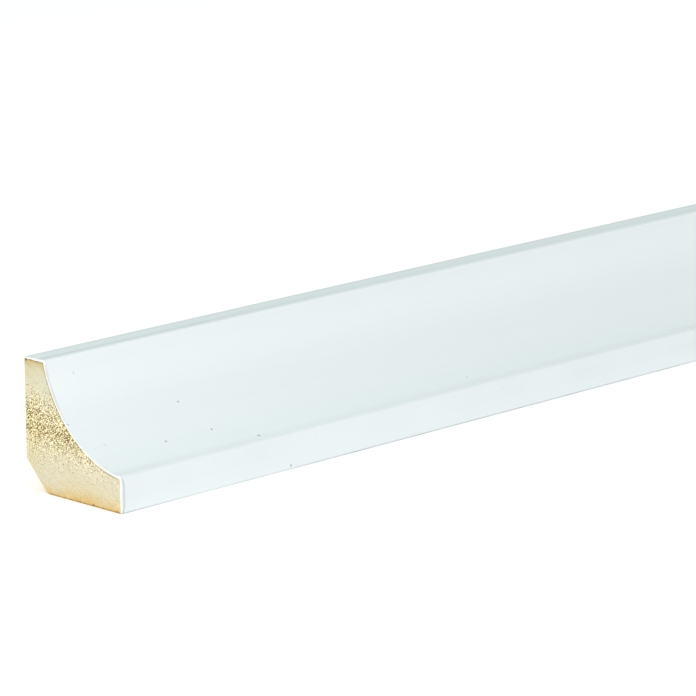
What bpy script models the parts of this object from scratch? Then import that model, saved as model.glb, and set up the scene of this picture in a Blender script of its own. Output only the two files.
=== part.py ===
"""Inside corner moulding: a foamed plastic core with a thin white facing on its show faces.

The moulding fills the corner between a wall and the surface below it. +X runs along the length,
+Y points at the wall and +Z points up, in metres. The origin is the middle of the underside.
The section is drawn as (depth, height): depth counts from the wall face towards the room.
"""

import math

import bmesh
import bpy
from mathutils import Vector

MM = 0.001

LENGTH = 150.0 * MM  # a short run, cut square at both ends
DEPTH = 19.0 * MM  # wall face to front land, a nominal three quarters of an inch
HEIGHT = 18.5 * MM  # underside to top land
TOP_LAND = 4.3 * MM  # flat strip beside the wall, as far as the cove's arc
FRONT_LAND = 5.05 * MM  # upright strip at the front, as far as the cove's arc
COVE_RADIUS = 16.75 * MM  # hollow between the two lands
BACK_CHAMFER = 4.2 * MM  # clears the filled corner behind the moulding
FACING_THICKNESS = 0.35 * MM
FACING_CLEARANCE = 0.3 * MM  # between the facing and the core
ARRIS_RADIUS = 0.5 * MM  # softened edges where the cove meets the lands
HEEL_RADIUS = 0.6 * MM  # softened edges of the back chamfer

COVE_STEPS = 32
ARRIS_STEPS = 4
SMOOTH_ANGLE = math.radians(25.0)

FOAM_COLOUR = (0.80, 0.70, 0.43, 1.0)
FACING_COLOUR = (0.84, 0.88, 0.88, 1.0)


def plastic(name, colour, roughness):
    """A plain opaque plastic."""
    material = bpy.data.materials.new(name)
    material.use_nodes = True
    shader = material.node_tree.nodes["Principled BSDF"]
    shader.inputs["Base Color"].default_value = colour
    shader.inputs["Roughness"].default_value = roughness
    shader.inputs["Metallic"].default_value = 0.0
    return material


def cove_centre():
    """Centre of the cove's arc, which runs from the top land's edge to the front land's."""
    top_edge = Vector((TOP_LAND, HEIGHT))
    front_edge = Vector((DEPTH, FRONT_LAND))
    half_chord = (front_edge - top_edge) / 2.0
    towards_room = Vector((-half_chord.y, half_chord.x)).normalized()
    rise = math.sqrt(COVE_RADIUS**2 - half_chord.length_squared)
    return top_edge + half_chord + towards_room * rise


def show_line(inset):
    """The show faces in section, wall to underside, moved into the moulding by inset."""
    centre = cove_centre()
    radius = COVE_RADIUS + inset
    top = HEIGHT - inset
    front = DEPTH - inset
    first = math.pi + math.asin((centre.y - top) / radius)
    last = 1.5 * math.pi - math.asin((centre.x - front) / radius)
    line = [Vector((0.0, top))]
    for step in range(COVE_STEPS + 1):
        angle = first + (last - first) * step / COVE_STEPS
        line.append(centre + radius * Vector((math.cos(angle), math.sin(angle))))
    line.append(Vector((front, 0.0)))
    return line


def softened(before, corner, after, radius):
    """Points of a small arc that rounds a corner off between its two neighbours."""
    back = (before - corner).normalized()
    ahead = (after - corner).normalized()
    half_angle = back.angle(ahead) / 2.0
    middle = corner + (back + ahead).normalized() * radius / math.sin(half_angle)
    start = corner + back * radius / math.tan(half_angle) - middle
    end = corner + ahead * radius / math.tan(half_angle) - middle
    first = math.atan2(start.y, start.x)
    sweep = math.remainder(math.atan2(end.y, end.x) - first, math.tau)
    angles = [first + sweep * step / ARRIS_STEPS for step in range(ARRIS_STEPS + 1)]
    return [middle + radius * Vector((math.cos(angle), math.sin(angle))) for angle in angles]


def with_soft_corners(line, radii):
    """The line with the corners at the given indices rounded off."""
    made = []
    for index, point in enumerate(line):
        if index in radii:
            following = line[(index + 1) % len(line)]
            made += softened(line[index - 1], point, following, radii[index])
        else:
            made.append(point)
    return made


def run(name, section, material):
    """A section drawn along the whole length and closed at both ends."""
    shape = bmesh.new()
    corners = [shape.verts.new((-LENGTH / 2.0, DEPTH / 2.0 - p.x, p.y)) for p in section]
    end_face = shape.faces.new(corners)
    drawn = bmesh.ops.extrude_face_region(shape, geom=[end_face])["geom"]
    far_corners = [item for item in drawn if isinstance(item, bmesh.types.BMVert)]
    bmesh.ops.translate(shape, vec=(LENGTH, 0.0, 0.0), verts=far_corners)
    bmesh.ops.recalc_face_normals(shape, faces=shape.faces)
    mesh = bpy.data.meshes.new(name)
    shape.to_mesh(mesh)
    shape.free()
    mesh.materials.append(material)
    mesh.shade_smooth()
    mesh.set_sharp_from_angle(angle=SMOOTH_ANGLE)
    piece = bpy.data.objects.new(name, mesh)
    bpy.context.scene.collection.objects.link(piece)
    return piece


def foam_core():
    """The body of the moulding, with the chamfer that clears the filled corner behind it."""
    show = show_line(FACING_THICKNESS + FACING_CLEARANCE)
    heel = [Vector((BACK_CHAMFER, 0.0)), Vector((0.0, BACK_CHAMFER))]
    outline = heel + show
    outline = with_soft_corners(outline, {0: HEEL_RADIUS, 1: HEEL_RADIUS})
    return run("foam_core", outline, plastic("foam", FOAM_COLOUR, 0.75))


def white_facing():
    """The skin over the top land, the cove and the front land."""
    cove_ends = (1, COVE_STEPS + 1)
    outside = with_soft_corners(show_line(0.0), {index: ARRIS_RADIUS for index in cove_ends})
    inside = show_line(FACING_THICKNESS)
    return run("white_facing", outside + inside[::-1], plastic("facing", FACING_COLOUR, 0.35))


def main():
    for leftover in list(bpy.data.objects):
        bpy.data.objects.remove(leftover)
    foam_core()
    white_facing()


main()
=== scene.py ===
"""Inside corner moulding, dressed: its foamed core with open cells at the cuts, and its white facing.

+X runs along the length, +Y points at the wall and +Z points up. The section is drawn as
(depth, height): depth counts from the wall face towards the room. Lengths are in millimetres
until a mesh is made. A run is a distance along the moulding from its left cut, and a girth is a
distance over the show face from the wall to the underside.
"""

import math

import bmesh
import bpy
import numpy as np
from mathutils import Matrix, Vector, geometry, kdtree


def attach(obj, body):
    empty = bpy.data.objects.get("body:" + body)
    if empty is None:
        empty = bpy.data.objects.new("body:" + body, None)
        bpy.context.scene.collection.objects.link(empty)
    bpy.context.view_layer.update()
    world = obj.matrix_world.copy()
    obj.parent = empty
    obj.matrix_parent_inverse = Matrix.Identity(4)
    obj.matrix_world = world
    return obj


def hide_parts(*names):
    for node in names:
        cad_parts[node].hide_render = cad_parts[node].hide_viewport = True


MILLIMETRE = 0.001  # in metres

# Section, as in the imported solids
LENGTH = 150.0
DEPTH = 19.0
HEIGHT = 18.5
TOP_LAND = 4.3
FRONT_LAND = 5.05
COVE_RADIUS = 16.75
BACK_CHAMFER = 4.2
HEEL_RADIUS = 0.6
UPPER_ARRIS_RADIUS = 0.4
LOWER_ARRIS_RADIUS = 0.4
WALL_RIM_RADIUS = 0.15
FOOT_RIM_RADIUS = 0.06

# Facing thickness at the stations of thickness_at, from the wall to the foot
FACING_THICKNESS = (0.30, 0.34, 0.36, 0.50, 0.38, 0.32, 0.25, 0.19)
COVE_STATION = 0.38  # how far along the cove its own thickness holds, as a share
GLUE_LINE = 0.01

# Facing mesh
GIRTH_SAMPLES = 2000
GIRTH_STEP = 0.3
BACK_STEP = 1.2
RUN_STEP = 1.5
RUN_MARGIN = 0.5  # from the rows beside a cut to the evenly spaced ones
FINE_STEP = 0.06
FINE_REACH = 0.3
CLOSEST = 0.6  # points nearer than this share of a step are left out
TIGHT_CURVATURE = 1.0
ROUND_STEPS = 7
DRAG_STEPS = 12
CUT_RUNS = (0.0, 0.015, 0.06, 0.1, 0.15, 0.2, 0.27, 0.35, 0.43, 0.52, 0.62, 0.75, 0.95, 1.2)
CHATTER_STEP = 0.35
FACING_SHARP_ANGLE = 38.0

# Facing relief
WAVE_HEIGHT = 0.008
WAVE_LENGTH = 41.0
WAVE_SLANT = 3.0
CROSS_WAVE_HEIGHT = 0.004
CROSS_WAVE_LENGTH = 3.1
ARRIS_WAVE = 0.02
ARRIS_WAVE_LENGTH = 9.0
LAND_SINK = 0.05  # the top land lies this far under the bead along its arris
LAND_SINK_END = 1.4  # it sinks fully up to this far from the arris
LAND_SINK_FADE = 1.0
WALL_SAG = 0.05  # and its wall edge sags this much more at the left cut
WALL_SAG_WIDTH = 2.0
WALL_SAG_RUN = 22.0
UPPER_EASE = 0.06  # away from the cuts the arrises are eased this much more
LOWER_EASE = 0.06
UPPER_EASE_WIDTH = 0.35
LOWER_EASE_WIDTH = 0.55
EASE_RUN = 1.5
TOP_BEAD = 0.065
TOP_BEAD_SHIFT = 0.6  # at the left cut the bead lies this much nearer the wall
TOP_BEAD_SHIFT_RUN = 60.0
FRONT_BEAD = 0.08
BEAD_WIDTH = 0.42
CHATTER_HEIGHT = 0.004
CHATTER_RUNS = (25.0, 43.0)
CHATTER_FADE = 4.0
CHATTER_PITCH = 1.7

# Facing beside a cut
CUT_RAGGED = 0.02
CUT_RAGGED_RUN = 0.3
CUT_RAGGED_PITCH = 2.3
CUT_ROUND_DEPTH = 0.12  # the front land's corner at a cut
CUT_ROUND_RUN = 0.22
GROOVE_DEPTH = 0.05  # the pressed groove beside it
GROOVE_RUN = 0.53
GROOVE_WIDTH = 0.18
GROOVE_BOW = (0.1, 1.0)  # the groove's run at its ends and in its middle, as shares
GROOVE_PAINTED_SHADE = 0.36  # painted shade in the groove: how dark it is
HIGHLIGHT_RUN = 0.3  # painted highlight: the brighter, warmer white at the front land's rounded cut corner reaches this far
BESIDE_CUT_SHADE = 0.08  # painted shade on the cove beside a cut, and how much darker it is near one height
BESIDE_CUT_SHADE_MORE = 0.26
BESIDE_CUT_SHADE_HEIGHT = 13.8
BESIDE_CUT_SHADE_SPREAD = 2.2
BESIDE_CUT_SHADE_RUN = 0.16
LAND_CUT_EDGE_SHADE = 0.08  # how much painted shade the facing's cut edge carries on the top land and in the cove
COVE_CUT_EDGE_SHADE = 0.12
COVE_CUT_EDGE_SHADES = ((BESIDE_CUT_SHADE_HEIGHT, BESIDE_CUT_SHADE_SPREAD, 0.20), (16.8, 1.2, 0.27))  # height, spread, how much more

# Nibs on the show face: run, height, radius, how far they stand up, how dark they are: a dark speck
# with painted shade on the nib's upper side
NIBS = (
    (0.33, 10.35, 0.12, 0.02, 0.6),
    (0.40, 5.75, 0.30, 0.02, 0.12),
    (4.44, 16.17, 0.16, 0.04, 0.25),
    (3.66, 7.57, 0.13, 0.04, 0.45),
    (13.07, 6.54, 0.17, 0.06, 0.9),
    (19.84, 9.95, 0.135, 0.06, 1.0),
    (21.60, 6.58, 0.16, 0.06, 1.0),
    (26.98, 5.33, 0.21, 0.06, 1.0),
    (31.32, 0.57, 0.19, 0.05, 0.55),
    (69.75, 5.64, 0.20, 0.03, 0.25),
    (73.95, 3.90, 0.20, 0.02, 0.15),
)
NIB_OFFSET = 0.14  # a nib's crest lies this far below its dark side, a speck with painted shade
DRAG_START = (17.74, 7.18)  # a nib dragged along the cove: run, height
DRAG_END = (21.45, 6.63)
DRAG_WIDTH = 0.12
DRAG_HEIGHT = 0.04
STREAK_FALL = 2.5  # how fast the streak fades across its width
CREASE_RUN = 35.75  # a faint crease down the front land
CREASE_FOOT = 2.3
CREASE_FADE = 1.0
CREASE_WIDTH = 0.16
CREASE_DEPTH = 0.035

# Painted shade behind the two beads and along the foot, and darker lines on the wall rim and down the
# front land: run, how dark
TOP_PAINTED_SHADE = ((0.0, 0.16), (25.0, 0.14), (50.0, 0.06), (80.0, 0.0), (LENGTH, 0.0))
COVE_PAINTED_SHADE = ((0.0, 0.09), (12.0, 0.06), (30.0, 0.045), (110.0, 0.045), (LENGTH, 0.08))
WALL_DARKENING = ((0.0, 0.06), (80.0, 0.06), (110.0, 0.12), (LENGTH, 0.12))
FRONT_LAND_DARKENING = (
    (0.0, 0.055), (30.0, 0.045), (37.0, 0.025), (55.0, 0.035), (80.0, 0.056), (LENGTH, 0.075),
)
FOOT_PAINTED_SHADE = (
    (0.0, 0.55), (5.0, 0.45), (12.0, 0.2), (22.0, 0.2),
    (32.0, 0.3), (42.0, 0.52), (90.0, 0.5), (LENGTH, 0.25),
)
TOP_SHADE_BACK = 0.85  # from the upper arris towards the wall
TOP_SHADE_WIDTH = 0.4
COVE_SHADE_BACK = 0.75  # from the lower arris up the cove
COVE_SHADE_WIDTH = 0.75
WALL_DARKENING_PAST = 0.1  # past the wall rim
FRONT_LAND_DARKENING_DOWN = 1.6  # from the lower arris down the front land
FRONT_LAND_DARKENING_WIDTH = 2.4
FOOT_SHADE_REACH = 0.17
FOOT_SHADE_FADE = 0.1
DARKENING_LEVEL = 0.9
DARKENING_PATCHES = (0.3, 23.0)  # how uneven the darkening is, and over what length
FOOT_SHADE_PATCHES = (0.25, 11.0)

# Foam cells at the cuts
CELL_SEED = 19
CELL_PITCH = 0.295
CELL_JITTER = 0.3
CELL_RADIUS = 0.128
CELL_DEPTH = 0.2
CELL_OVAL = 0.16  # how far a cell's outline strays from a circle, in twos and in threes
CELL_THREE = 0.1
# Shares for the smallest cell and the largest, or for closed foam and the middle of the open band
RADIUS_BY_SIZE = (0.6, 1.2)
RADIUS_BY_BAND = (0.55, 1.0)
DEPTH_BY_SIZE = (0.25, 1.0)
DEPTH_BY_BAND = (0.15, 1.0)
PROUD_BY_SIZE = (0.4, 1.0)
PROUD_BY_BAND = (0.7, 1.0)
PIT_SHARE = (0.015, 0.92)
GRAIN_SHARE = (0.16, 0.12)
PIT_CONTRAST = 1.25
BAND_HEIGHT = 9.9
BAND_FALL = 0.1  # the band drops this much for each millimetre of depth
BAND_SPREAD = 4.4
BAND_END = 13.5  # towards the room it starts to close at this depth
BAND_END_REACH = 3.0
BAND_END_LOSS = 0.6
NEAR_OPEN = 1.0  # share of the cells that are open at the left cut and at the right one
FAR_OPEN = 0.55

# Surface of the sawn foam
SAW_LEVEL = 0.04  # flat foam lies this far under the torn grains
SAW_CONTRAST = 1.5
SAW_WAVE = 0.004
SAW_WAVE_LENGTH = 2.7
SAW_WAVE_SLANT = 2.0
RIM_REACH = 0.35  # width of a cell's rim, as a share of its radius
RIM_LIFT = (0.75, 1.0)  # how high foam between the cells and on their rims stands, as a share
EDGE_GROOVES = {"top": 0.07, "cove": 0.06, "foot": 0.08}  # worn grooves just inside the edges
EDGE_SETBACK = 0.05
EDGE_WIDTH = 0.12
EDGE_LEVEL = 0.75
EDGE_PATCHES = (0.5, 1.3)  # how uneven the grooves are, and over what length
COVE_TEAR = 1.8  # the cove's groove is deeper by this share near one height
COVE_TEAR_HEIGHT = 13.5
COVE_TEAR_SPREAD = 2.0
SCARS = (  # torn spots near the edges: depth, height, radius, how deep
    (0.35, 17.95, 0.16, 0.16),
    (10.7, 0.16, 0.14, 0.1),
    (13.4, 0.2, 0.17, 0.14),
    (15.2, 0.14, 0.13, 0.08),
    (18.1, 0.2, 0.16, 0.07),
    (17.6, 0.16, 0.14, 0.06),
)

# Foam mesh
RING_STEP = 0.06
# Rings of points round a cell: share of the radius, share of the points
CELL_RINGS = ((1.0 + RIM_REACH / 2.0, 1.0), (1.0, 1.0), (0.84, 1.0), (0.45, 0.6))
LEAST_RING = 5
NEAR_CELLS = 4  # how many cells can shape one point
FLAT_STEP = 0.17
FLAT_JITTER = 0.2
OUTLINE_STEP = 0.12
SEAT_POINTS = 600
HEEL_POINTS = 7
EDGE_RINGS = (0.05, 0.12)
INNER_MARGIN = 0.16
CELL_MARGIN = 0.06
LEAST_GAP = 0.03
SAME_PLACE = 0.00001
CORE_RUNS = (0.12, 0.4, 1.5, 6.0, 20.0, 45.0, 75.0)
RIPPLE_DEPTH = 0.015  # fine lines from the die on the hidden sides
RIPPLE_PITCHES = (1.9, 7.3)
RIPPLE_FADE = 0.5
CORE_SHARP_ANGLE = 50.0

# Foam colours at shares of the height, and the painted shade that darkens them at shares of the depth
# below the cut: most in pits and worn grooves, so raised grains look lighter
FOAM_BY_HEIGHT = (
    (0.0, (0.90, 0.66, 0.305)),
    (0.055, (0.911, 0.75, 0.45)),
    (0.1, (0.907, 0.822, 0.59)),
    (0.3, (0.885, 0.80, 0.55)),
    (0.46, (0.83, 0.71, 0.41)),
    (0.6, (0.872, 0.768, 0.487)),
    (0.7, (0.888, 0.806, 0.55)),
    (0.84, (0.85, 0.815, 0.59)),
    (0.91, (0.83, 0.765, 0.515)),
    (0.94, (0.77, 0.655, 0.39)),
    (0.965, (0.75, 0.625, 0.335)),
)
FOAM_PAINTED_SHADE_BY_LEVEL = (
    (0.0, (1.0, 1.0, 1.0)),
    (0.16, (0.79, 0.785, 0.80)),
    (0.36, (0.45, 0.38, 0.26)),
    (0.8, (0.24, 0.18, 0.09)),
)
SHADED_DEPTH = 0.25
BLOTCH_SCALE = 0.45  # broad blotches shift the colours up and down
BLOTCH_SHIFT = 0.5
# How much more amber the foam is at shares of the depth
FOOT_WARMTH = (
    (0.18, (1.0, 1.0, 0.98)),
    (0.3, (1.0, 1.0, 1.0)),
    (0.38, (1.0, 0.985, 0.88)),
    (0.47, (1.0, 0.94, 0.74)),
    (0.7, (1.0, 0.94, 0.74)),
    (0.8, (1.0, 0.98, 0.87)),
)
WALL_WARMTH = (
    (0.09, (1.0, 0.985, 0.9)),
    (0.2, (1.0, 1.0, 1.0)),
)
FOOT_WARMTH_TOP = 0.8  # the foot's warmth holds up to here and the wall's from above
WALL_WARMTH_FOOT = 3.6
# How strong the fine mottle is, at shares of the height
MOTTLE = (
    (0.0, 0.15), (0.15, 0.14), (0.3, 0.34), (0.42, 0.75),
    (0.56, 0.85), (0.7, 0.45), (0.8, 0.1), (0.9, 0.06),
)
MOTTLE_SCALE = 7.5
BLUE_MOTTLE = 1.3
BLUE_LEVEL = 1.02
SKIN_TONES = ((0.3, (0.66, 0.50, 0.24)), (0.7, (0.78, 0.64, 0.36)))
SKIN_LINES = 2.2
SKIN_STRETCH = (0.01, 1.0, 1.0)
CUT_ROUGHNESS = 0.85
SKIN_ROUGHNESS = 0.5
FOAM_SHINE = 0.3
FOAM_GRAIN = 5.0
FOAM_GRAIN_HEIGHT = 0.03
FOAM_GRAIN_STRENGTH = 0.6

# Facing colours
FACING_TONES = ((0.35, (0.823, 0.864, 0.879)), (0.65, (0.833, 0.874, 0.889)))
FACING_LINES = 1.6
FACING_STRETCH = (0.02, 1.0, 1.0)
FACING_LINE_HEIGHT = 0.01
FACING_LINE_STRENGTH = 0.5
FACING_ROUGHNESS = (0.34, 0.42)
CLOUD_TONE = (0.818, 0.861, 0.876)
CLOUD_SCALE = 0.09
CLOUD_MOST = 0.35
# Painted highlight: a brighter, warmer white on the facing's cut edges and the front land's rounded cut
# corner
HIGHLIGHT_TONE = (0.91, 0.90, 0.865)
# Painted shade, also for the dark specks and the darker lines
SHADE_AND_MARK_TONE = (0.12, 0.135, 0.14)
TOP_LAND_PAINTED_SHADE = (  # painted shade over the top land, darker and cooler, at shares of its depth from the wall
    (0.0, (0.965, 0.98, 0.965)),
    (0.2, (0.965, 0.985, 0.97)),
    (0.36, (0.985, 1.01, 1.0)),
    (0.5, (0.96, 1.0, 0.995)),
    (0.78, (0.95, 0.99, 0.985)),
    (0.92, (1.0, 1.0, 1.0)),
)
TOP_LAND_SHADE_FADE = (0.3, 0.2)  # it fades out between these two depths under the land

# Camera, fitted to the photograph's corners and long edges
PICTURE_PIXELS = 696
FOCAL_PIXELS = 4136.0
SENSOR_WIDTH = 36.0
CAMERA_AZIMUTH = math.radians(-45.07)
CAMERA_ELEVATION = math.radians(13.53)
CAMERA_ROLL = math.radians(-0.40)
CAMERA_DISTANCE = 559.5
CAMERA_AIM = (43.38, 18.98)  # right and up from the left cut's foot at the wall
CAMERA_CLIP = (0.01, 20.0)  # in metres

# Floor and light, in metres
FLOOR_SIZE = 8.0
FLOOR_DROP = 0.00002
FLOOR_COLOUR = (0.9, 0.9, 0.9)
FLOOR_GLOW_COLOUR = (1.0, 0.965, 0.965)
FLOOR_GLOW = 0.315
SKY_COLOUR = (1.0, 1.0, 1.0)
SKY_STRENGTH = 0.484
SOFTBOXES = {  # place, aim, size, colour, watts
    "overhead_softbox": ((0.0, 0.0, 1.2), (0.0, 0.0, 0.008), 1.6, (0.82, 1.0, 0.965), 6.62),
    "front_softbox": ((0.6, -0.7, 0.5), (0.0, 0.0, 0.008), 0.5, (1.0, 1.0, 1.0), 1.27),
    "low_softbox": ((0.6, -0.7, 0.15), (0.0, 0.0, 0.008), 0.5, (1.0, 1.0, 1.0), 0.574),
    "left_softbox": ((-0.45, -0.10, 0.12), (-0.05, 0.0, 0.008), 0.25, (1.0, 1.0, 1.0), 0.283),
    "cut_softbox": ((-0.22, -0.06, 0.10), (-0.07, 0.0, 0.010), 0.1, (1.0, 1.0, 1.0), 0.066),
}


class Profile:
    """A chain of straight and round stretches, each one starting where the last one ends."""

    def __init__(self, start, heading, stretches):
        """Each stretch is its length and its curvature, which is positive for a left turn."""
        self.curvatures = np.array([curvature for _, curvature in stretches])
        self.ends = np.cumsum([length for length, _ in stretches])
        self.begins = np.concatenate([[0.0], self.ends[:-1]])
        self.headings = [heading]
        self.starts = [np.array(start, float)]
        for length, curvature in stretches:
            begin = self.starts[-1]
            self.starts.append(begin + self.step(self.headings[-1], curvature, length))
            self.headings.append(self.headings[-1] + curvature * length)
        self.starts = np.array(self.starts[:-1])
        self.headings = np.array(self.headings[:-1])

    @staticmethod

    def step(heading, curvature, length):
        """How far a walk along one stretch moves."""
        half_turn = curvature * length / 2.0
        chord = length * np.sinc(half_turn / np.pi)
        way = heading + half_turn
        return np.stack([chord * np.cos(way), chord * np.sin(way)], axis=-1)

    @property

    def length(self):
        return float(self.ends[-1])

    def at(self, distance):
        """The point, and the normal on its left, at each distance along the chain."""
        distance = np.asarray(distance, float)
        index = np.minimum(np.searchsorted(self.ends, distance), len(self.ends) - 1)
        past = distance - self.begins[index]
        heading, curvature = self.headings[index], self.curvatures[index]
        point = self.starts[index] + self.step(heading, curvature, past)
        way = heading + curvature * past
        return point, np.stack([-np.sin(way), np.cos(way)], axis=-1)


def cove_centre():
    """Centre of the cove's arc, which runs from the top land's edge to the front land's."""
    top_edge = np.array([TOP_LAND, HEIGHT])
    front_edge = np.array([DEPTH, FRONT_LAND])
    half_chord = (front_edge - top_edge) / 2.0
    reach = math.hypot(*half_chord)
    towards_room = np.array([-half_chord[1], half_chord[0]]) / reach
    return top_edge + half_chord + towards_room * math.sqrt(COVE_RADIUS**2 - reach**2)


COVE_CENTRE = cove_centre()


def show_face():
    """The outside of the facing, from the wall to the underside, with both arrises rounded."""
    upper_reach = COVE_RADIUS + UPPER_ARRIS_RADIUS
    lower_reach = COVE_RADIUS + LOWER_ARRIS_RADIUS
    upper_turn = math.asin((COVE_CENTRE[1] - HEIGHT + UPPER_ARRIS_RADIUS) / upper_reach)
    lower_turn = math.acos((COVE_CENTRE[0] - DEPTH + LOWER_ARRIS_RADIUS) / lower_reach)
    land_end = COVE_CENTRE[0] - upper_reach * math.cos(upper_turn)
    front_top = COVE_CENTRE[1] - lower_reach * math.sin(lower_turn)
    quarter = math.pi / 2.0
    stretches = [
        (quarter * WALL_RIM_RADIUS, -1.0 / WALL_RIM_RADIUS),
        (land_end - WALL_RIM_RADIUS, 0.0),
        ((quarter - upper_turn) * UPPER_ARRIS_RADIUS, -1.0 / UPPER_ARRIS_RADIUS),
        ((lower_turn - upper_turn) * COVE_RADIUS, 1.0 / COVE_RADIUS),
        (lower_turn * LOWER_ARRIS_RADIUS, -1.0 / LOWER_ARRIS_RADIUS),
        (front_top - FOOT_RIM_RADIUS, 0.0),
        (quarter * FOOT_RIM_RADIUS, -1.0 / FOOT_RIM_RADIUS),
    ]
    return Profile((0.0, HEIGHT - WALL_RIM_RADIUS), quarter, stretches)


FACE = show_face()
LAND_START, LAND_END, COVE_START, COVE_END, FRONT_START, FRONT_END = FACE.ends[:6]
UPPER_ARRIS = (LAND_END + COVE_START) / 2.0
LOWER_ARRIS = (COVE_END + FRONT_START) / 2.0


def girth_at(height):
    """How far over the show face a height in the cove or on the front land lies."""
    girths = np.linspace(COVE_START, FACE.length, GIRTH_SAMPLES)
    heights = FACE.at(girths)[0][:, 1]
    return float(np.interp(-height, -heights, girths))


def thickness_at(girth):
    """How thick the facing is at each place on the show face."""
    stations = (
        LAND_START,
        (LAND_START + LAND_END) / 2.0,
        LAND_END,
        COVE_START,
        COVE_START + (COVE_END - COVE_START) * COVE_STATION,
        COVE_END,
        FRONT_START,
        FRONT_END,
    )
    return np.interp(girth, stations, FACING_THICKNESS)


def facing_back(girth):
    """The facing's inner side, against the foam, opposite each place on the show face."""
    thickness = thickness_at(girth)[:, None]
    point, normal = FACE.at(girth)
    wall_rim = girth < LAND_START
    foot_rim = girth > FRONT_END
    point[wall_rim, 1] = HEIGHT
    normal[wall_rim] = (0.0, 1.0)
    point[foot_rim, 0] = DEPTH
    normal[foot_rim] = (1.0, 0.0)
    return point - thickness * normal


def smooth_step(value):
    """0 up to 0, 1 from 1, and an S-curve between."""
    value = np.clip(value, 0.0, 1.0)
    return value * value * (3.0 - 2.0 * value)


def bell(value, centre, width):
    """1 at the centre, falling off evenly on both sides."""
    return np.exp(-(((value - centre) / width) ** 2))


def within(limits, share):
    """The value at a share of the way from the first limit to the second."""
    first, second = limits
    return first + (second - first) * share


def drift(place, wavelength, phase):
    """A slow, uneven wave between about -1 and 1. The phase only sets where it starts."""
    turn = 2.0 * np.pi * place / wavelength
    first = 0.5 * np.sin(turn + phase)
    second = 0.3 * np.sin(1.73 * turn + 2.1 * phase)
    third = 0.2 * np.sin(3.19 * turn + 4.3 * phase)
    return first + second + third


def from_cut(run):
    """Distance from the nearer cut."""
    return np.minimum(run, LENGTH - run)


def gathered(base, centres, reach, step):
    """Positions with finer ones added within reach of some centres, none crowding the next."""
    extra = [centre + np.arange(-reach, reach + step / 2.0, step) for centre in centres]
    low, high = base[0], base[-1]
    both = np.sort(np.concatenate([base, *extra]))
    both = both[(both > low + step / 2.0) & (both < high - step / 2.0)]
    kept = [low]
    for place in both:
        if place - kept[-1] >= step * CLOSEST:
            kept.append(place)
    return np.array(kept + [high])


def cut_lip(run, girth):
    """How far the facing falls away beside a saw cut, and its painted shade and painted highlight
    there.
    """
    height = FACE.at(girth)[0][:, 1]
    away = from_cut(run)[:, None]
    on_front = smooth_step((girth - FRONT_START + LOWER_ARRIS_RADIUS) / LOWER_ARRIS_RADIUS)[None, :]
    middle = FRONT_LAND / 2.0
    bow = np.clip(1.0 - ((height - middle) / middle) ** 6, 0.0, 1.0)[None, :]
    rounding = CUT_ROUND_DEPTH * np.clip(1.0 - away / CUT_ROUND_RUN, 0.0, 1.0) ** 2
    groove = bell(away, GROOVE_RUN * within(GROOVE_BOW, bow), GROOVE_WIDTH)
    fall = on_front * (rounding + GROOVE_DEPTH * bow * groove)
    # Painted shade on the cove and top land beside the cut
    beside_cut_shade = BESIDE_CUT_SHADE + BESIDE_CUT_SHADE_MORE * bell(height, BESIDE_CUT_SHADE_HEIGHT, BESIDE_CUT_SHADE_SPREAD)[None, :]
    beside_cut_shade = beside_cut_shade * (1.0 - on_front) * np.exp(-((away / BESIDE_CUT_SHADE_RUN) ** 4))
    # Painted highlight at the front land's rounded cut corner
    painted_highlight = on_front * (1.0 - smooth_step(away / HIGHLIGHT_RUN))
    # Painted shade in the front land's groove and on the cove beside the cut
    return fall, np.maximum(GROOVE_PAINTED_SHADE * on_front * groove, beside_cut_shade), painted_highlight


def spot(run, girth, centre, radius):
    """A soft round spot: 1 at its centre and nearly 0 beyond its radius."""
    near = (run[:, None] - centre[0]) ** 2 + (girth[None, :] - centre[1]) ** 2
    return np.exp(-((near / radius**2) ** 2))


def streak(run, girth, start, end, width):
    """A soft straight streak between two places."""
    start, end = np.array(start), np.array(end)
    along = end - start
    place = np.stack(np.broadcast_arrays(run[:, None], girth[None, :]), axis=-1) - start
    share = np.clip((place @ along) / (along @ along), 0.0, 1.0)
    off = place - share[..., None] * along
    return np.exp(-STREAK_FALL * (off**2).sum(axis=-1) / width**2)


def surface_lift(run, girth):
    """How far the waves, the beads and the sinking land lift the facing over its true section."""
    lift = WAVE_HEIGHT * drift(run[:, None] + WAVE_SLANT * girth[None, :], WAVE_LENGTH, 0.7)
    lift = lift + CROSS_WAVE_HEIGHT * drift(girth, CROSS_WAVE_LENGTH, 2.9)[None, :]
    on_land = 1.0 - smooth_step((girth - LAND_END + LAND_SINK_END) / LAND_SINK_FADE)
    lift = lift - LAND_SINK * on_land[None, :]
    near_wall = 1.0 - smooth_step(girth / WALL_SAG_WIDTH)
    lift = lift - WALL_SAG * np.exp(-run / WALL_SAG_RUN)[:, None] * near_wall[None, :]
    top_corner = COVE_START - TOP_BEAD_SHIFT * np.exp(-run / TOP_BEAD_SHIFT_RUN)
    front_corner = np.full(len(run), COVE_END)
    for corner, bead, phase in ((top_corner, TOP_BEAD, 0.3), (front_corner, FRONT_BEAD, 1.9)):
        at_arris = bell(girth[None, :], corner[:, None], BEAD_WIDTH)
        lift = lift + at_arris * (bead + ARRIS_WAVE * drift(run, ARRIS_WAVE_LENGTH, phase)[:, None])
    settled = 1.0 - np.exp(-from_cut(run) / EASE_RUN)
    for arris, ease, width in (
        (UPPER_ARRIS, UPPER_EASE, UPPER_EASE_WIDTH),
        (LOWER_ARRIS, LOWER_EASE, LOWER_EASE_WIDTH),
    ):
        lift = lift - ease * settled[:, None] * bell(girth, arris, width)[None, :]
    return lift


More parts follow.
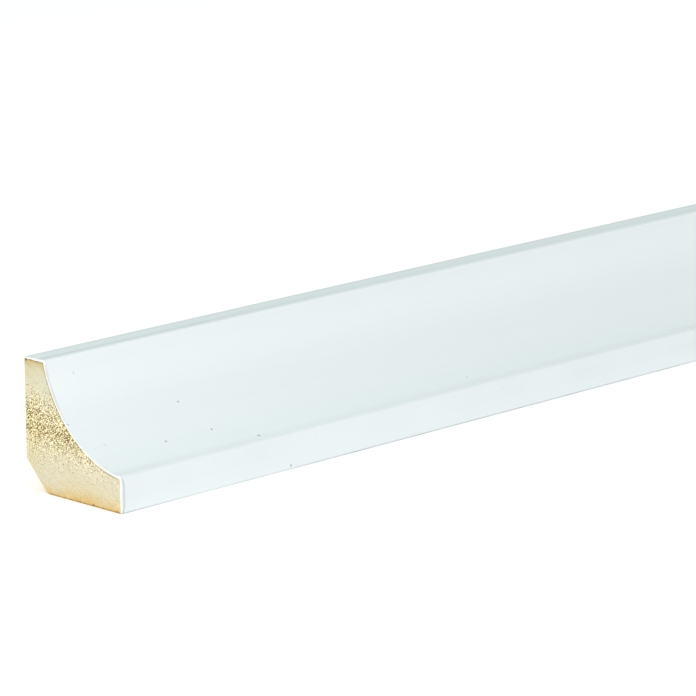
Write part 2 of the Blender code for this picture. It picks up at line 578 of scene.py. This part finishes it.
def darkening_along(run, marks, patches, phase):
    """How dark a painted line is along the run."""
    unevenness, length = patches
    return np.interp(run, *zip(*marks)) * (DARKENING_LEVEL + unevenness * drift(run, length, phase))


def darker_lines(run, girth):
    """How dark the show face is painted: painted shade behind the two beads and along the foot, and
    darker lines on the wall rim and down the front land.
    """
    darkness = np.zeros((len(run), len(girth)))
    # Painted shade behind the upper bead and in the cove above the lower arris, then darker lines on
    # the wall rim and down the front land
    for middle, width, marks, phase in (
        (LAND_END - TOP_SHADE_BACK, TOP_SHADE_WIDTH, TOP_PAINTED_SHADE, 0.3),
        (COVE_END - COVE_SHADE_BACK, COVE_SHADE_WIDTH, COVE_PAINTED_SHADE, 1.9),
        (0.0, LAND_START + WALL_DARKENING_PAST, WALL_DARKENING, 2.6),
        (FRONT_START + FRONT_LAND_DARKENING_DOWN, FRONT_LAND_DARKENING_WIDTH, FRONT_LAND_DARKENING, 1.2),
    ):
        strength = darkening_along(run, marks, DARKENING_PATCHES, phase)
        darkness = darkness + bell(girth, middle, width)[None, :] * strength[:, None]
    # Painted shade along the foot, where it meets the floor
    at_foot = smooth_step((girth - FACE.length + FOOT_SHADE_REACH) / FOOT_SHADE_FADE)[None, :]
    strength = darkening_along(run, FOOT_PAINTED_SHADE, FOOT_SHADE_PATCHES, 0.9)
    return np.maximum(darkness, at_foot * strength[:, None])


def facing_relief(run, girth):
    """Height of the facing's surface over its true section, its painted shade and marks, and its
    painted highlight.
    """
    fall, cut_painted_shade, painted_highlight = cut_lip(run, girth)
    lift = surface_lift(run, girth) - fall
    # Painted shade and darker lines, with the painted shade beside the cuts
    painted_shade_and_marks = np.maximum(darker_lines(run, girth), cut_painted_shade)
    for along, height, radius, proud, speck_shade in NIBS:
        girth_there = girth_at(height)
        lift = lift + proud * spot(run, girth, (along, girth_there + NIB_OFFSET), radius)
        # Each nib's dark speck, with painted shade on its upper side above the crest
        painted_shade_and_marks = np.maximum(painted_shade_and_marks, speck_shade * spot(run, girth, (along, girth_there), radius))
    ends = [(along, girth_at(height)) for along, height in (DRAG_START, DRAG_END)]
    lift = lift + DRAG_HEIGHT * streak(run, girth, *ends, DRAG_WIDTH)
    on_front = smooth_step((girth - COVE_END) / LOWER_ARRIS_RADIUS)
    above_foot = smooth_step((girth_at(CREASE_FOOT) - girth) / CREASE_FADE)
    crease = bell(run, CREASE_RUN, CREASE_WIDTH)[:, None] * (on_front * above_foot)[None, :]
    lift = lift - CREASE_DEPTH * crease
    first, last = CHATTER_RUNS
    window = smooth_step((run - first) / CHATTER_FADE) * smooth_step((last - run) / CHATTER_FADE)
    chatter = window * np.sin(2.0 * np.pi * run / CHATTER_PITCH)
    lift = lift + CHATTER_HEIGHT * chatter[:, None] * on_front[None, :]
    return lift, painted_shade_and_marks, painted_highlight


def placed(run, depth, height):
    """World coordinates, in metres, of places given by run and section."""
    run, depth, height = np.broadcast_arrays(run, depth, height)
    world = np.stack([run - LENGTH / 2.0, DEPTH / 2.0 - depth, height], axis=-1)
    return world.reshape(-1, 3) * MILLIMETRE


def piece(name, points, faces, material, sharp_degrees):
    """A mesh object with its normals turned out and its crisp edges kept crisp."""
    mesh = bpy.data.meshes.new(name)
    mesh.from_pydata(points.tolist(), [], faces)
    mesh.validate()
    shape = bmesh.new()
    shape.from_mesh(mesh)
    bmesh.ops.recalc_face_normals(shape, faces=shape.faces)
    shape.to_mesh(mesh)
    shape.free()
    mesh.materials.append(material)
    mesh.shade_smooth()
    mesh.set_sharp_from_angle(angle=math.radians(sharp_degrees))
    made = bpy.data.objects.new(name, mesh)
    bpy.context.scene.collection.objects.link(made)
    return made


def facing_runs():
    """Where the facing's rows of points lie along the length."""
    ends = np.array(CUT_RUNS)
    first = CUT_RUNS[-1] + RUN_MARGIN
    middle = np.arange(first, LENGTH - first, RUN_STEP)
    chatter = np.arange(*CHATTER_RUNS, CHATTER_STEP)
    drag = np.linspace(DRAG_START[0], DRAG_END[0], DRAG_STEPS)
    base = np.sort(np.concatenate([ends, middle, chatter, LENGTH - ends, drag]))
    return gathered(base, [nib[0] for nib in NIBS] + [CREASE_RUN], FINE_REACH, FINE_STEP)


def over_face(step, round_steps):
    """Places over the show face, at most a step apart, with a given number on each tight round."""
    places = []
    for begin, end, curvature in zip(FACE.begins, FACE.ends, FACE.curvatures):
        tight = abs(curvature) > TIGHT_CURVATURE
        count = round_steps if tight else math.ceil((end - begin) / step)
        places.append(np.linspace(begin, end, count, endpoint=False))
    return np.concatenate([*places, [FACE.length]])


def facing_girths():
    """Where the facing's columns of points lie over the show face."""
    marks = [girth_at(nib[1]) for nib in NIBS]
    drag = np.linspace(girth_at(DRAG_START[1]), girth_at(DRAG_END[1]), DRAG_STEPS).tolist()
    return gathered(over_face(GIRTH_STEP, ROUND_STEPS), marks + drag, FINE_REACH, FINE_STEP)


def cut_edge(girth, back_girth):
    """Triangles across the facing's cut edge, between its outer points and its fewer inner ones."""
    last = len(girth) + len(back_girth) - 1
    outer, inner = 0, 0
    while outer < len(girth) - 1 or inner < len(back_girth) - 1:
        outer_next = girth[outer + 1] if outer < len(girth) - 1 else math.inf
        inner_next = back_girth[inner + 1] if inner < len(back_girth) - 1 else math.inf
        if outer_next <= inner_next:
            yield outer, outer + 1, last - inner
            outer += 1
        else:
            yield outer, last - inner - 1, last - inner
            inner += 1


def cut_edge_shade(girth):
    """How much painted shade the facing's cut edge carries at each place on the show face."""
    height = FACE.at(girth)[0][:, 1]
    cut_edge_shaded = np.full(len(girth), COVE_CUT_EDGE_SHADE)
    for centre, spread, more in COVE_CUT_EDGE_SHADES:
        cut_edge_shaded = cut_edge_shaded + more * bell(height, centre, spread)
    in_cove = (girth > COVE_START) & (girth < COVE_END)
    return np.where(in_cove, cut_edge_shaded, LAND_CUT_EDGE_SHADE * (girth < COVE_START))


def ragged(place):
    """How far the saw cut strays along the run at each place round the facing."""
    return CUT_RAGGED * (0.5 + 0.5 * drift(place, CUT_RAGGED_PITCH, 1.1))


def white_facing(material):
    """The facing as a closed skin, with its cut edges, nibs and faint waves."""
    run, girth, back_girth = facing_runs(), facing_girths(), over_face(BACK_STEP, 1)
    point, normal = FACE.at(girth)
    lift, painted_shade_and_marks, painted_highlight = facing_relief(run, girth)
    outside = point[None, :, :] + lift[:, :, None] * normal[None, :, :]
    outside[..., 0] = np.clip(outside[..., 0], 0.0, DEPTH)
    outside[..., 1] = np.clip(outside[..., 1], 0.0, HEIGHT)
    inside = np.broadcast_to(facing_back(back_girth)[::-1], (len(run), len(back_girth), 2))
    section = np.concatenate([outside, inside], axis=1)
    rows, columns = section.shape[:2]
    near_cut = np.clip(1.0 - from_cut(run) / CUT_RAGGED_RUN, 0.0, 1.0)
    side = np.where(run < LENGTH / 2.0, 1.0, -1.0)
    strays = np.concatenate([ragged(girth), ragged(back_girth[::-1])])
    runs = run[:, None] + (side * near_cut)[:, None] * strays[None, :]
    points = placed(runs, section[..., 0], section[..., 1])
    faces = []
    for row in range(rows - 1):
        here, there = row * columns, (row + 1) * columns
        for column in range(columns):
            after = (column + 1) % columns
            faces.append((here + column, here + after, there + after, there + column))
    for here in (0, (rows - 1) * columns):
        for corners in cut_edge(girth, back_girth):
            faces.append(tuple(here + corner for corner in corners))
    made = piece("white_facing_skin", points, faces, material, FACING_SHARP_ANGLE)
    # The cut rows carry the painted shade of the cut edge, and a full painted highlight
    cut_edge_shaded = np.concatenate([cut_edge_shade(girth), np.zeros(len(back_girth))])
    for name, values, at_cut in (("painted_shade_and_marks", painted_shade_and_marks, cut_edge_shaded), ("painted_highlight", painted_highlight, 1.0)):
        values = np.concatenate([values, np.zeros((rows, len(back_girth)))], axis=1)
        values[[0, -1]] = at_cut
        made.data.attributes.new(name, "FLOAT", "POINT").data.foreach_set("value", values.ravel())
    return made


def heel_corner(corner, first_ray):
    """Points of a rounded heel corner between the underside or the back and the chamfer."""
    eighth = math.pi / 4.0
    angles = np.linspace(first_ray, first_ray - eighth, HEEL_POINTS)
    setback = HEEL_RADIUS * math.tan(eighth / 2.0)
    if corner == "underside":
        centre = np.array([BACK_CHAMFER + setback, HEEL_RADIUS])
    else:
        centre = np.array([HEEL_RADIUS, BACK_CHAMFER + setback])
    return centre + HEEL_RADIUS * np.stack([np.cos(angles), np.sin(angles)], axis=1)


def core_outline():
    """The foam's section as evenly spaced points, with fine lines from the die on its hidden sides."""
    girth = np.linspace(0.0, FACE.length, SEAT_POINTS)
    seat = np.clip(facing_back(girth) - GLUE_LINE * FACE.at(girth)[1], 0.0, None)
    underside = heel_corner("underside", -math.pi / 2.0)
    back = heel_corner("back", -3.0 * math.pi / 4.0)
    corners = np.concatenate([seat, underside, back, seat[:1]])
    spans = np.hypot(*np.diff(corners, axis=0).T)
    travelled = np.concatenate([[0.0], np.cumsum(spans)])
    around = travelled[-1]
    count = round(around / OUTLINE_STEP)
    places = np.arange(count) * around / count
    outline = np.stack([np.interp(places, travelled, corners[:, axis]) for axis in (0, 1)], axis=1)
    past_seat = smooth_step((places - travelled[len(seat) - 1]) / RIPPLE_FADE)
    hidden = past_seat * smooth_step((around - places) / RIPPLE_FADE)
    fine, broad = RIPPLE_PITCHES
    lines = 0.5 + 0.5 * drift(places, fine, 0.4) * drift(places, broad, 2.2)
    return outline + (RIPPLE_DEPTH * hidden * lines)[:, None] * inward_of(outline)


def inward_of(outline):
    """Directions into a closed outline that is walked with its inside on the right."""
    ahead = np.roll(outline, -1, axis=0) - np.roll(outline, 1, axis=0)
    ahead /= np.hypot(*ahead.T)[:, None]
    return np.stack([ahead[:, 1], -ahead[:, 0]], axis=1)


def edge_distances(place):
    """How far inside each side of the foam's section a place is, and below 0 outside it."""
    depth, height = place[:, 0], place[:, 1]
    cove_top = FACE.at(COVE_START)[0]
    turns = [np.arctan2(COVE_CENTRE[1] - y, COVE_CENTRE[0] - x) for x, y in ((depth, height), cove_top)]
    over_cove = np.clip(COVE_START + COVE_RADIUS * (turns[0] - turns[1]), COVE_START, COVE_END)
    out = np.hypot(depth - COVE_CENTRE[0], height - COVE_CENTRE[1])
    return {
        "wall": depth,
        "foot": height,
        "top": HEIGHT - GLUE_LINE - thickness_at(LAND_START + depth) - height,
        "front": DEPTH - GLUE_LINE - thickness_at(FRONT_START + FRONT_LAND - height) - depth,
        "cove": out - COVE_RADIUS - GLUE_LINE - thickness_at(over_cove),
        "chamfer": (depth + height - BACK_CHAMFER) / math.sqrt(2.0),
    }


def edge_distance(place):
    """How far inside the foam's section a place is, and below 0 outside it."""
    return np.min(list(edge_distances(place).values()), axis=0)


def openness(place):
    """How open the foam is, from 0 to 1: most in a band across the middle of the section."""
    in_band = bell(place[:, 1], BAND_HEIGHT - BAND_FALL * place[:, 0], BAND_SPREAD)
    return in_band * (1.0 - BAND_END_LOSS * smooth_step((place[:, 0] - BAND_END) / BAND_END_REACH))


def lattice(step):
    """Points of a triangular lattice over the section's box."""
    rows = np.arange(0.0, HEIGHT, step * math.sqrt(0.75))
    columns = np.arange(0.0, DEPTH, step)
    depth, height = np.meshgrid(columns, rows)
    depth = depth + (np.arange(len(rows)) % 2)[:, None] * step / 2.0
    return np.stack([depth.ravel(), height.ravel()], axis=1)


def cells(random, share):
    """The foam cells that a cut opens or tears up: place, radius, depth and outline phases.

    A depth below 0 is a torn grain that stands up.
    """
    place = lattice(CELL_PITCH)
    place = place + CELL_PITCH * CELL_JITTER * random.uniform(-1.0, 1.0, place.shape)
    size = random.uniform(0.0, 1.0, len(place))
    chance = random.uniform(0.0, 1.0, len(place))
    phases = random.uniform(0.0, 2.0 * np.pi, (len(place), 2))
    opened = openness(place)
    radius = CELL_RADIUS * within(RADIUS_BY_SIZE, size) * within(RADIUS_BY_BAND, opened)
    deep = CELL_DEPTH * within(DEPTH_BY_SIZE, size) * within(DEPTH_BY_BAND, opened)
    proud = SAW_LEVEL * within(PROUD_BY_BAND, opened) * within(PROUD_BY_SIZE, size)
    pits = share * within(PIT_SHARE, opened**PIT_CONTRAST)
    grains = share * within(GRAIN_SHARE, opened)
    deep = np.where(chance < pits, deep, -proud)
    kept = (edge_distance(place) > CELL_MARGIN) & (chance < pits + grains)
    scars = np.array(SCARS)
    return (
        np.concatenate([place[kept], scars[:, :2]]),
        np.concatenate([radius[kept], scars[:, 2]]),
        np.concatenate([deep[kept], scars[:, 3]]),
        np.concatenate([phases[kept], np.zeros((len(scars), 2))]),
    )


def cell_outline(angle, phases):
    """How far from its centre a cell's outline lies in some direction, as a share of its radius."""
    oval = CELL_OVAL * np.cos(2.0 * angle + phases[..., 0])
    return 1.0 + oval + CELL_THREE * np.cos(3.0 * angle + phases[..., 1])


def cell_points(place, radius, phases):
    """Points on each cell's rim, edge, wall and floor, so that its outline is crisp."""
    found = [place]
    for share, detail in CELL_RINGS:
        counts = np.round(2.0 * np.pi * radius * detail / RING_STEP)
        counts = np.maximum(LEAST_RING, counts).astype(int)
        owner = np.repeat(np.arange(len(place)), counts)
        first = np.repeat(np.cumsum(counts) - counts, counts)
        angle = 2.0 * np.pi * (np.arange(len(owner)) - first + share) / counts[owner]
        reach = share * radius[owner] * cell_outline(angle, phases[owner])
        ways = np.stack([np.cos(angle), np.sin(angle)], axis=1)
        found.append(place[owner] + reach[:, None] * ways)
    return np.concatenate(found)


def nearest_cells(points, place):
    """For each point, the indices of the cells whose centres are nearest."""
    tree = kdtree.KDTree(len(place))
    for index, centre in enumerate(place):
        tree.insert((*centre, 0.0), index)
    tree.balance()
    found = [tree.find_n((*point, 0.0), NEAR_CELLS) for point in points.tolist()]
    return np.array([[index for _, index, _ in near] for near in found])


def worn_edges(points):
    """How deep the worn grooves just inside the edges of the cut are."""
    worn = np.zeros(len(points))
    distances = edge_distances(points)
    unevenness, length = EDGE_PATCHES
    for side, deep in EDGE_GROOVES.items():
        along = points[:, 1] if side == "cove" else points[:, 0]
        uneven = EDGE_LEVEL + unevenness * drift(along, length, 2.0)
        if side == "cove":
            uneven = uneven * (1.0 + COVE_TEAR * bell(along, COVE_TEAR_HEIGHT, COVE_TEAR_SPREAD))
        worn = np.maximum(worn, deep * uneven * bell(distances[side], EDGE_SETBACK, EDGE_WIDTH))
    return worn


def cut_level(points, found_cells):
    """How far below the cut each point of the foam's end lies."""
    place, radius, deep, phases = found_cells
    near = nearest_cells(points, place)
    offset = points[:, None, :] - place[near]
    angle = np.arctan2(offset[..., 1], offset[..., 0])
    away = np.hypot(offset[..., 0], offset[..., 1])
    out = away / (radius[near] * cell_outline(angle, phases[near]))
    inside = np.clip(1.0 - out**4, 0.0, 1.0)
    pit = (deep[near] * inside).max(axis=1).clip(0.0)
    grain = (-deep[near] * inside).max(axis=1).clip(0.0)
    rim = np.clip(1.0 - np.abs(out - 1.0 - RIM_REACH / 2.0) / RIM_REACH, 0.0, 1.0)
    rim = (rim * (deep[near] > 0.0)).max(axis=1)
    flat = SAW_LEVEL * within(RIM_LIFT, rim) * openness(points) ** SAW_CONTRAST
    waves = SAW_WAVE * drift(points[:, 0] + SAW_WAVE_SLANT * points[:, 1], SAW_WAVE_LENGTH, 0.9)
    level = np.clip(SAW_LEVEL - np.maximum(grain, flat) + waves, 0.0, None)
    # This depth below the cut also sets the foam's painted shade, so pits and worn grooves come out
    # darker
    return level + np.maximum(pit, worn_edges(points))


def cut_end(outline, share, seed):
    """One sawn end of the foam: its points, how far each is below the cut, its faces and its border."""
    random = np.random.default_rng(seed)
    found_cells = cells(random, share)
    place, radius, _, phases = found_cells
    inward = inward_of(outline)
    rings = [outline + inset * inward for inset in EDGE_RINGS]
    flat = lattice(FLAT_STEP)
    flat = flat + FLAT_JITTER * FLAT_STEP * random.uniform(-1.0, 1.0, flat.shape)
    inside = np.concatenate([cell_points(place, radius, phases), flat])
    inside = inside[edge_distance(inside) > INNER_MARGIN]
    inside = np.concatenate([*rings, inside])
    coarse = np.round(inside / LEAST_GAP).astype(int)
    inside = inside[np.sort(np.unique(coarse, axis=0, return_index=True)[1])]
    points = np.concatenate([outline, inside])
    count = len(outline)
    loop = [(index, (index + 1) % count) for index in range(count)]
    flat_points = [Vector(point) for point in points.tolist()]
    made = geometry.delaunay_2d_cdt(flat_points, loop, [], 1, SAME_PLACE)
    corners, faces, origins = made[0], made[2], made[3]
    points = np.array([tuple(corner) for corner in corners])
    border = [0] * count
    for index, sources in enumerate(origins):
        for source in sources:
            if source < count:
                border[source] = index
    level = cut_level(points, found_cells)
    return points, level, [tuple(face) for face in faces], border


def foam_core(material):
    """The foamed core: sawn ends with open cells, and smooth skin along its hidden sides."""
    outline = core_outline()
    points, faces, borders = [], [], []
    start = 0
    for far, share, seed in ((False, NEAR_OPEN, CELL_SEED), (True, FAR_OPEN, CELL_SEED + 1)):
        place, level, end_faces, border = cut_end(outline, share, seed)
        run = LENGTH - level if far else level
        points.append(placed(run, place[:, 0], place[:, 1]))
        faces += [tuple(start + index for index in face) for face in end_faces]
        borders.append([start + index for index in border])
        start += len(place)
    borders_end = start
    rings = [borders[0]]
    for run in list(CORE_RUNS) + [LENGTH - run for run in CORE_RUNS[-2::-1]]:
        points.append(placed(run, outline[:, 0], outline[:, 1]))
        rings.append(list(range(start, start + len(outline))))
        start += len(outline)
    rings.append(borders[1])
    count = len(outline)
    for here, there in zip(rings, rings[1:]):
        for index in range(count):
            after = (index + 1) % count
            faces.append((here[index], here[after], there[after], there[index]))
    used = np.zeros(start, bool)
    used[np.concatenate([np.array(face) for face in faces])] = True
    renumbered = np.cumsum(used) - 1
    faces = [tuple(renumbered[list(face)].tolist()) for face in faces]
    made = piece("foam_core_cut", np.concatenate(points)[used], faces, material, CORE_SHARP_ANGLE)
    skin = (np.arange(start) >= borders_end)[used].astype(float)
    made.data.attributes.new("skin", "FLOAT", "POINT").data.foreach_set("value", skin)
    return made


class Nodes:
    """A material's node tree, with its shader at hand."""

    def __init__(self, name):
        self.material = bpy.data.materials.new(name)
        self.material.use_nodes = True
        self.tree = self.material.node_tree
        self.shader = self.tree.nodes["Principled BSDF"]

    def join(self, source, target):
        self.tree.links.new(source, target)

    def add(self, kind, **settings):
        node = self.tree.nodes.new(kind)
        for name, value in settings.items():
            setattr(node, name, value)
        return node

    def place(self, scale=(1.0, 1.0, 1.0)):
        """Object coordinates in millimetres, stretched by a scale."""
        where = self.add("ShaderNodeTexCoord")
        mapping = self.add("ShaderNodeMapping")
        mapping.inputs["Scale"].default_value = [share / MILLIMETRE for share in scale]
        self.join(where.outputs["Object"], mapping.inputs["Vector"])
        return mapping.outputs["Vector"]

    def axes(self, place):
        """The X, Y and Z of a place, as sockets."""
        node = self.add("ShaderNodeSeparateXYZ")
        self.join(place, node.inputs[0])
        return node.outputs

    def attribute(self, name):
        return self.add("ShaderNodeAttribute", attribute_name=name).outputs["Fac"]

    def noise(self, place, scale, detail):
        node = self.add("ShaderNodeTexNoise")
        node.inputs["Scale"].default_value = scale
        node.inputs["Detail"].default_value = detail
        self.join(place, node.inputs["Vector"])
        return node.outputs["Fac"]

    def maths(self, operation, first, second):
        """A Math node whose inputs are sockets or numbers."""
        node = self.add("ShaderNodeMath", operation=operation)
        for socket, value in zip(node.inputs, (first, second)):
            if isinstance(value, (int, float)):
                socket.default_value = value
            else:
                self.join(value, socket)
        return node.outputs[0]

    def spread(self, value, low, high, new_low=0.0, new_high=1.0):
        """A value's range mapped onto another."""
        node = self.add("ShaderNodeMapRange")
        names = ("From Min", "From Max", "To Min", "To Max")
        for name, number in zip(names, (low, high, new_low, new_high)):
            node.inputs[name].default_value = number
        self.join(value, node.inputs["Value"])
        return node.outputs[0]

    def ramp(self, value, stops):
        """Colours at stops of a value from 0 to 1."""
        node = self.add("ShaderNodeValToRGB")
        elements = node.color_ramp.elements
        while len(elements) < len(stops):
            elements.new(0.5)
        for element, (position, colour) in zip(elements, stops):
            element.position = position
            element.color = (*colour, 1.0)
        self.join(value, node.inputs["Fac"])
        return node.outputs["Color"]

    def colour(self, red, green, blue):
        """A colour from three values, which may be brighter than white."""
        node = self.add("ShaderNodeCombineColor")
        for socket, value in zip(node.inputs, (red, green, blue)):
            self.join(value, socket)
        return node.outputs[0]

    def mix(self, share, first, second, blend="MIX"):
        """Two colours mixed by a share; each of the three may be a socket."""
        node = self.add("ShaderNodeMix", data_type="RGBA", blend_type=blend)
        sockets = (node.inputs[0], node.inputs[6], node.inputs[7])
        for socket, value in zip(sockets, (share, first, second)):
            if isinstance(value, (int, float)):
                socket.default_value = value
            elif isinstance(value, tuple):
                socket.default_value = (*value, 1.0)
            else:
                self.join(value, socket)
        return node.outputs[2]

    def bump(self, height, distance, strength):
        node = self.add("ShaderNodeBump")
        node.inputs["Distance"].default_value = distance * MILLIMETRE
        node.inputs["Strength"].default_value = strength
        self.join(height, node.inputs["Height"])
        self.join(node.outputs["Normal"], self.shader.inputs["Normal"])


def foam_material():
    """Cream foam at the cuts, amber where it is dense, painted shade deeper in its pits and worn
    grooves, and an amber skin along the sides.
    """
    nodes = Nodes("foam")
    place = nodes.place()
    axes = nodes.axes(place)
    blotch = nodes.noise(place, BLOTCH_SCALE, 3.0)
    shift = nodes.spread(blotch, 0.3, 0.7, -BLOTCH_SHIFT, BLOTCH_SHIFT)
    height = nodes.maths("ADD", axes["Z"], shift)
    by_height = nodes.ramp(nodes.spread(height, 0.0, HEIGHT), FOAM_BY_HEIGHT)
    # Painted shade: the cut end is darker the further below the cut plane it lies
    away = nodes.maths("ABSOLUTE", axes["X"], 0.0)
    below = nodes.maths("SUBTRACT", LENGTH / 2.0, away)
    painted_shade_by_level = nodes.ramp(nodes.spread(below, 0.0, SHADED_DEPTH), FOAM_PAINTED_SHADE_BY_LEVEL)
    uneven = nodes.spread(nodes.noise(place, MOTTLE_SCALE, 0.0), 0.25, 0.75, -1.0, 1.0)
    greys = [(share, (grey, grey, grey)) for share, grey in MOTTLE]
    contrast = nodes.ramp(nodes.spread(height, 0.0, HEIGHT), greys)
    mottle = nodes.maths("MULTIPLY", uneven, contrast)
    red_green = nodes.maths("ADD", mottle, 1.0)
    blue = nodes.maths("ADD", nodes.maths("MULTIPLY", mottle, BLUE_MOTTLE), BLUE_LEVEL)
    lit = nodes.mix(1.0, by_height, nodes.colour(red_green, red_green, blue), "MULTIPLY")
    from_wall = nodes.spread(axes["Y"], DEPTH / 2.0, -DEPTH / 2.0)
    higher = nodes.spread(axes["Z"], FOOT_WARMTH_TOP, WALL_WARMTH_FOOT)
    at_foot = nodes.ramp(from_wall, FOOT_WARMTH)
    warmth = nodes.mix(higher, at_foot, nodes.ramp(from_wall, WALL_WARMTH))
    lit = nodes.mix(1.0, lit, warmth, "MULTIPLY")
    cut = nodes.mix(1.0, lit, painted_shade_by_level, "MULTIPLY")
    lines = nodes.noise(nodes.place(SKIN_STRETCH), SKIN_LINES, 4.0)
    skin = nodes.ramp(lines, SKIN_TONES)
    is_skin = nodes.attribute("skin")
    roughness = nodes.spread(is_skin, 0.0, 1.0, CUT_ROUGHNESS, SKIN_ROUGHNESS)
    nodes.join(nodes.mix(is_skin, cut, skin), nodes.shader.inputs["Base Color"])
    nodes.join(roughness, nodes.shader.inputs["Roughness"])
    nodes.bump(nodes.noise(place, FOAM_GRAIN, 3.0), FOAM_GRAIN_HEIGHT, FOAM_GRAIN_STRENGTH)
    nodes.shader.inputs["Specular IOR Level"].default_value = FOAM_SHINE
    return nodes.material


def facing_material():
    """Satin white plastic with faint lines along the length, grey with painted shade and dark specks, a
    painted highlight at the cut edges, and painted shade on the top land.
    """
    nodes = Nodes("facing")
    lines = nodes.noise(nodes.place(FACING_STRETCH), FACING_LINES, 4.0)
    clouds = nodes.noise(nodes.place(), CLOUD_SCALE, 2.0)
    cloudy = nodes.spread(clouds, 0.35, 0.65, 0.0, CLOUD_MOST)
    tone = nodes.mix(cloudy, nodes.ramp(lines, FACING_TONES), CLOUD_TONE)
    # Painted highlight at the cut edges and the front land's cut corner
    tone = nodes.mix(nodes.attribute("painted_highlight"), tone, HIGHLIGHT_TONE)
    # Painted shade with the dark specks and the darker lines
    tone = nodes.mix(nodes.attribute("painted_shade_and_marks"), tone, SHADE_AND_MARK_TONE)
    # Painted shade: the top land darker and cooler
    axes = nodes.axes(nodes.place())
    lower, upper = TOP_LAND_SHADE_FADE
    on_land = nodes.spread(axes["Z"], HEIGHT - lower, HEIGHT - upper)
    over_land = nodes.spread(axes["Y"], DEPTH / 2.0, DEPTH / 2.0 - TOP_LAND)
    top_land_shaded = nodes.mix(1.0, tone, nodes.ramp(over_land, TOP_LAND_PAINTED_SHADE), "MULTIPLY")
    roughness = nodes.spread(lines, 0.3, 0.7, *FACING_ROUGHNESS)
    nodes.join(nodes.mix(on_land, tone, top_land_shaded), nodes.shader.inputs["Base Color"])
    nodes.join(roughness, nodes.shader.inputs["Roughness"])
    nodes.bump(lines, FACING_LINE_HEIGHT, FACING_LINE_STRENGTH)
    return nodes.material


def floor():
    """A plain pale floor that glows a little, as a lit table does."""
    nodes = Nodes("floor")
    nodes.shader.inputs["Base Color"].default_value = (*FLOOR_COLOUR, 1.0)
    nodes.shader.inputs["Roughness"].default_value = 1.0
    nodes.shader.inputs["Specular IOR Level"].default_value = 0.0
    nodes.shader.inputs["Emission Color"].default_value = (*FLOOR_GLOW_COLOUR, 1.0)
    nodes.shader.inputs["Emission Strength"].default_value = FLOOR_GLOW
    half = FLOOR_SIZE / 2.0
    plan = ((-half, -half), (half, -half), (half, half), (-half, half))
    corners = [(x, y, -FLOOR_DROP) for x, y in plan]
    mesh = bpy.data.meshes.new("floor")
    mesh.from_pydata(corners, [], [(0, 1, 2, 3)])
    mesh.materials.append(nodes.material)
    made = bpy.data.objects.new("floor", mesh)
    bpy.context.scene.collection.objects.link(made)


def sky():
    """Even light from all round."""
    world = bpy.data.worlds.new("studio")
    world.use_nodes = True
    background = world.node_tree.nodes["Background"]
    background.inputs["Color"].default_value = (*SKY_COLOUR, 1.0)
    background.inputs["Strength"].default_value = SKY_STRENGTH
    bpy.context.scene.world = world


def softbox(name, place, aim, size, colour, watts):
    """A square soft light turned at the moulding."""
    light = bpy.data.lights.new(name, "AREA")
    light.shape = "SQUARE"
    light.size = size
    light.color = colour
    light.energy = watts
    made = bpy.data.objects.new(name, light)
    made.location = place
    made.rotation_mode = "QUATERNION"
    made.rotation_quaternion = (Vector(aim) - Vector(place)).to_track_quat("-Z", "Y")
    made.visible_camera = False
    bpy.context.scene.collection.objects.link(made)


def camera():
    """The photograph's camera."""
    azimuth, elevation, roll = CAMERA_AZIMUTH, CAMERA_ELEVATION, CAMERA_ROLL
    back = Vector((
        math.sin(azimuth) * math.cos(elevation),
        -math.cos(azimuth) * math.cos(elevation),
        math.sin(elevation),
    ))
    level_right = Vector((math.cos(azimuth), math.sin(azimuth), 0.0))
    level_up = back.cross(level_right)
    right = math.cos(roll) * level_right + math.sin(roll) * level_up
    up = -math.sin(roll) * level_right + math.cos(roll) * level_up
    foot_at_wall = Vector((-LENGTH / 2.0, DEPTH / 2.0, 0.0))
    place = foot_at_wall + CAMERA_AIM[0] * right + CAMERA_AIM[1] * up + CAMERA_DISTANCE * back
    lens = bpy.data.cameras.new("camera")
    lens.sensor_width = SENSOR_WIDTH
    lens.lens = FOCAL_PIXELS / PICTURE_PIXELS * SENSOR_WIDTH
    lens.clip_start, lens.clip_end = CAMERA_CLIP
    made = bpy.data.objects.new("camera", lens)
    turn = Matrix((right, up, back)).transposed().to_4x4()
    made.matrix_world = Matrix.Translation(place * MILLIMETRE) @ turn
    bpy.context.scene.collection.objects.link(made)
    bpy.context.scene.camera = made


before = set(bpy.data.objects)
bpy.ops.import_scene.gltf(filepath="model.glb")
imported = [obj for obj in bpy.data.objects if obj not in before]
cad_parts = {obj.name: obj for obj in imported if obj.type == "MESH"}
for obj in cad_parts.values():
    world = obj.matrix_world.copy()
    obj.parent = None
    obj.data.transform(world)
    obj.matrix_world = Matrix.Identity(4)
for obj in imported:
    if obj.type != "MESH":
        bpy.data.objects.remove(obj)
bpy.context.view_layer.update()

core = foam_core(foam_material())
facing = white_facing(facing_material())
for made, node, slot in ((core, "foam_core", "foam"), (facing, "white_facing", "facing")):
    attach(made, "root")
    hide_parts(node)

floor()
sky()
for name, settings in SOFTBOXES.items():
    softbox(name, *settings)
camera()
bpy.context.scene.view_settings.view_transform = "Standard"
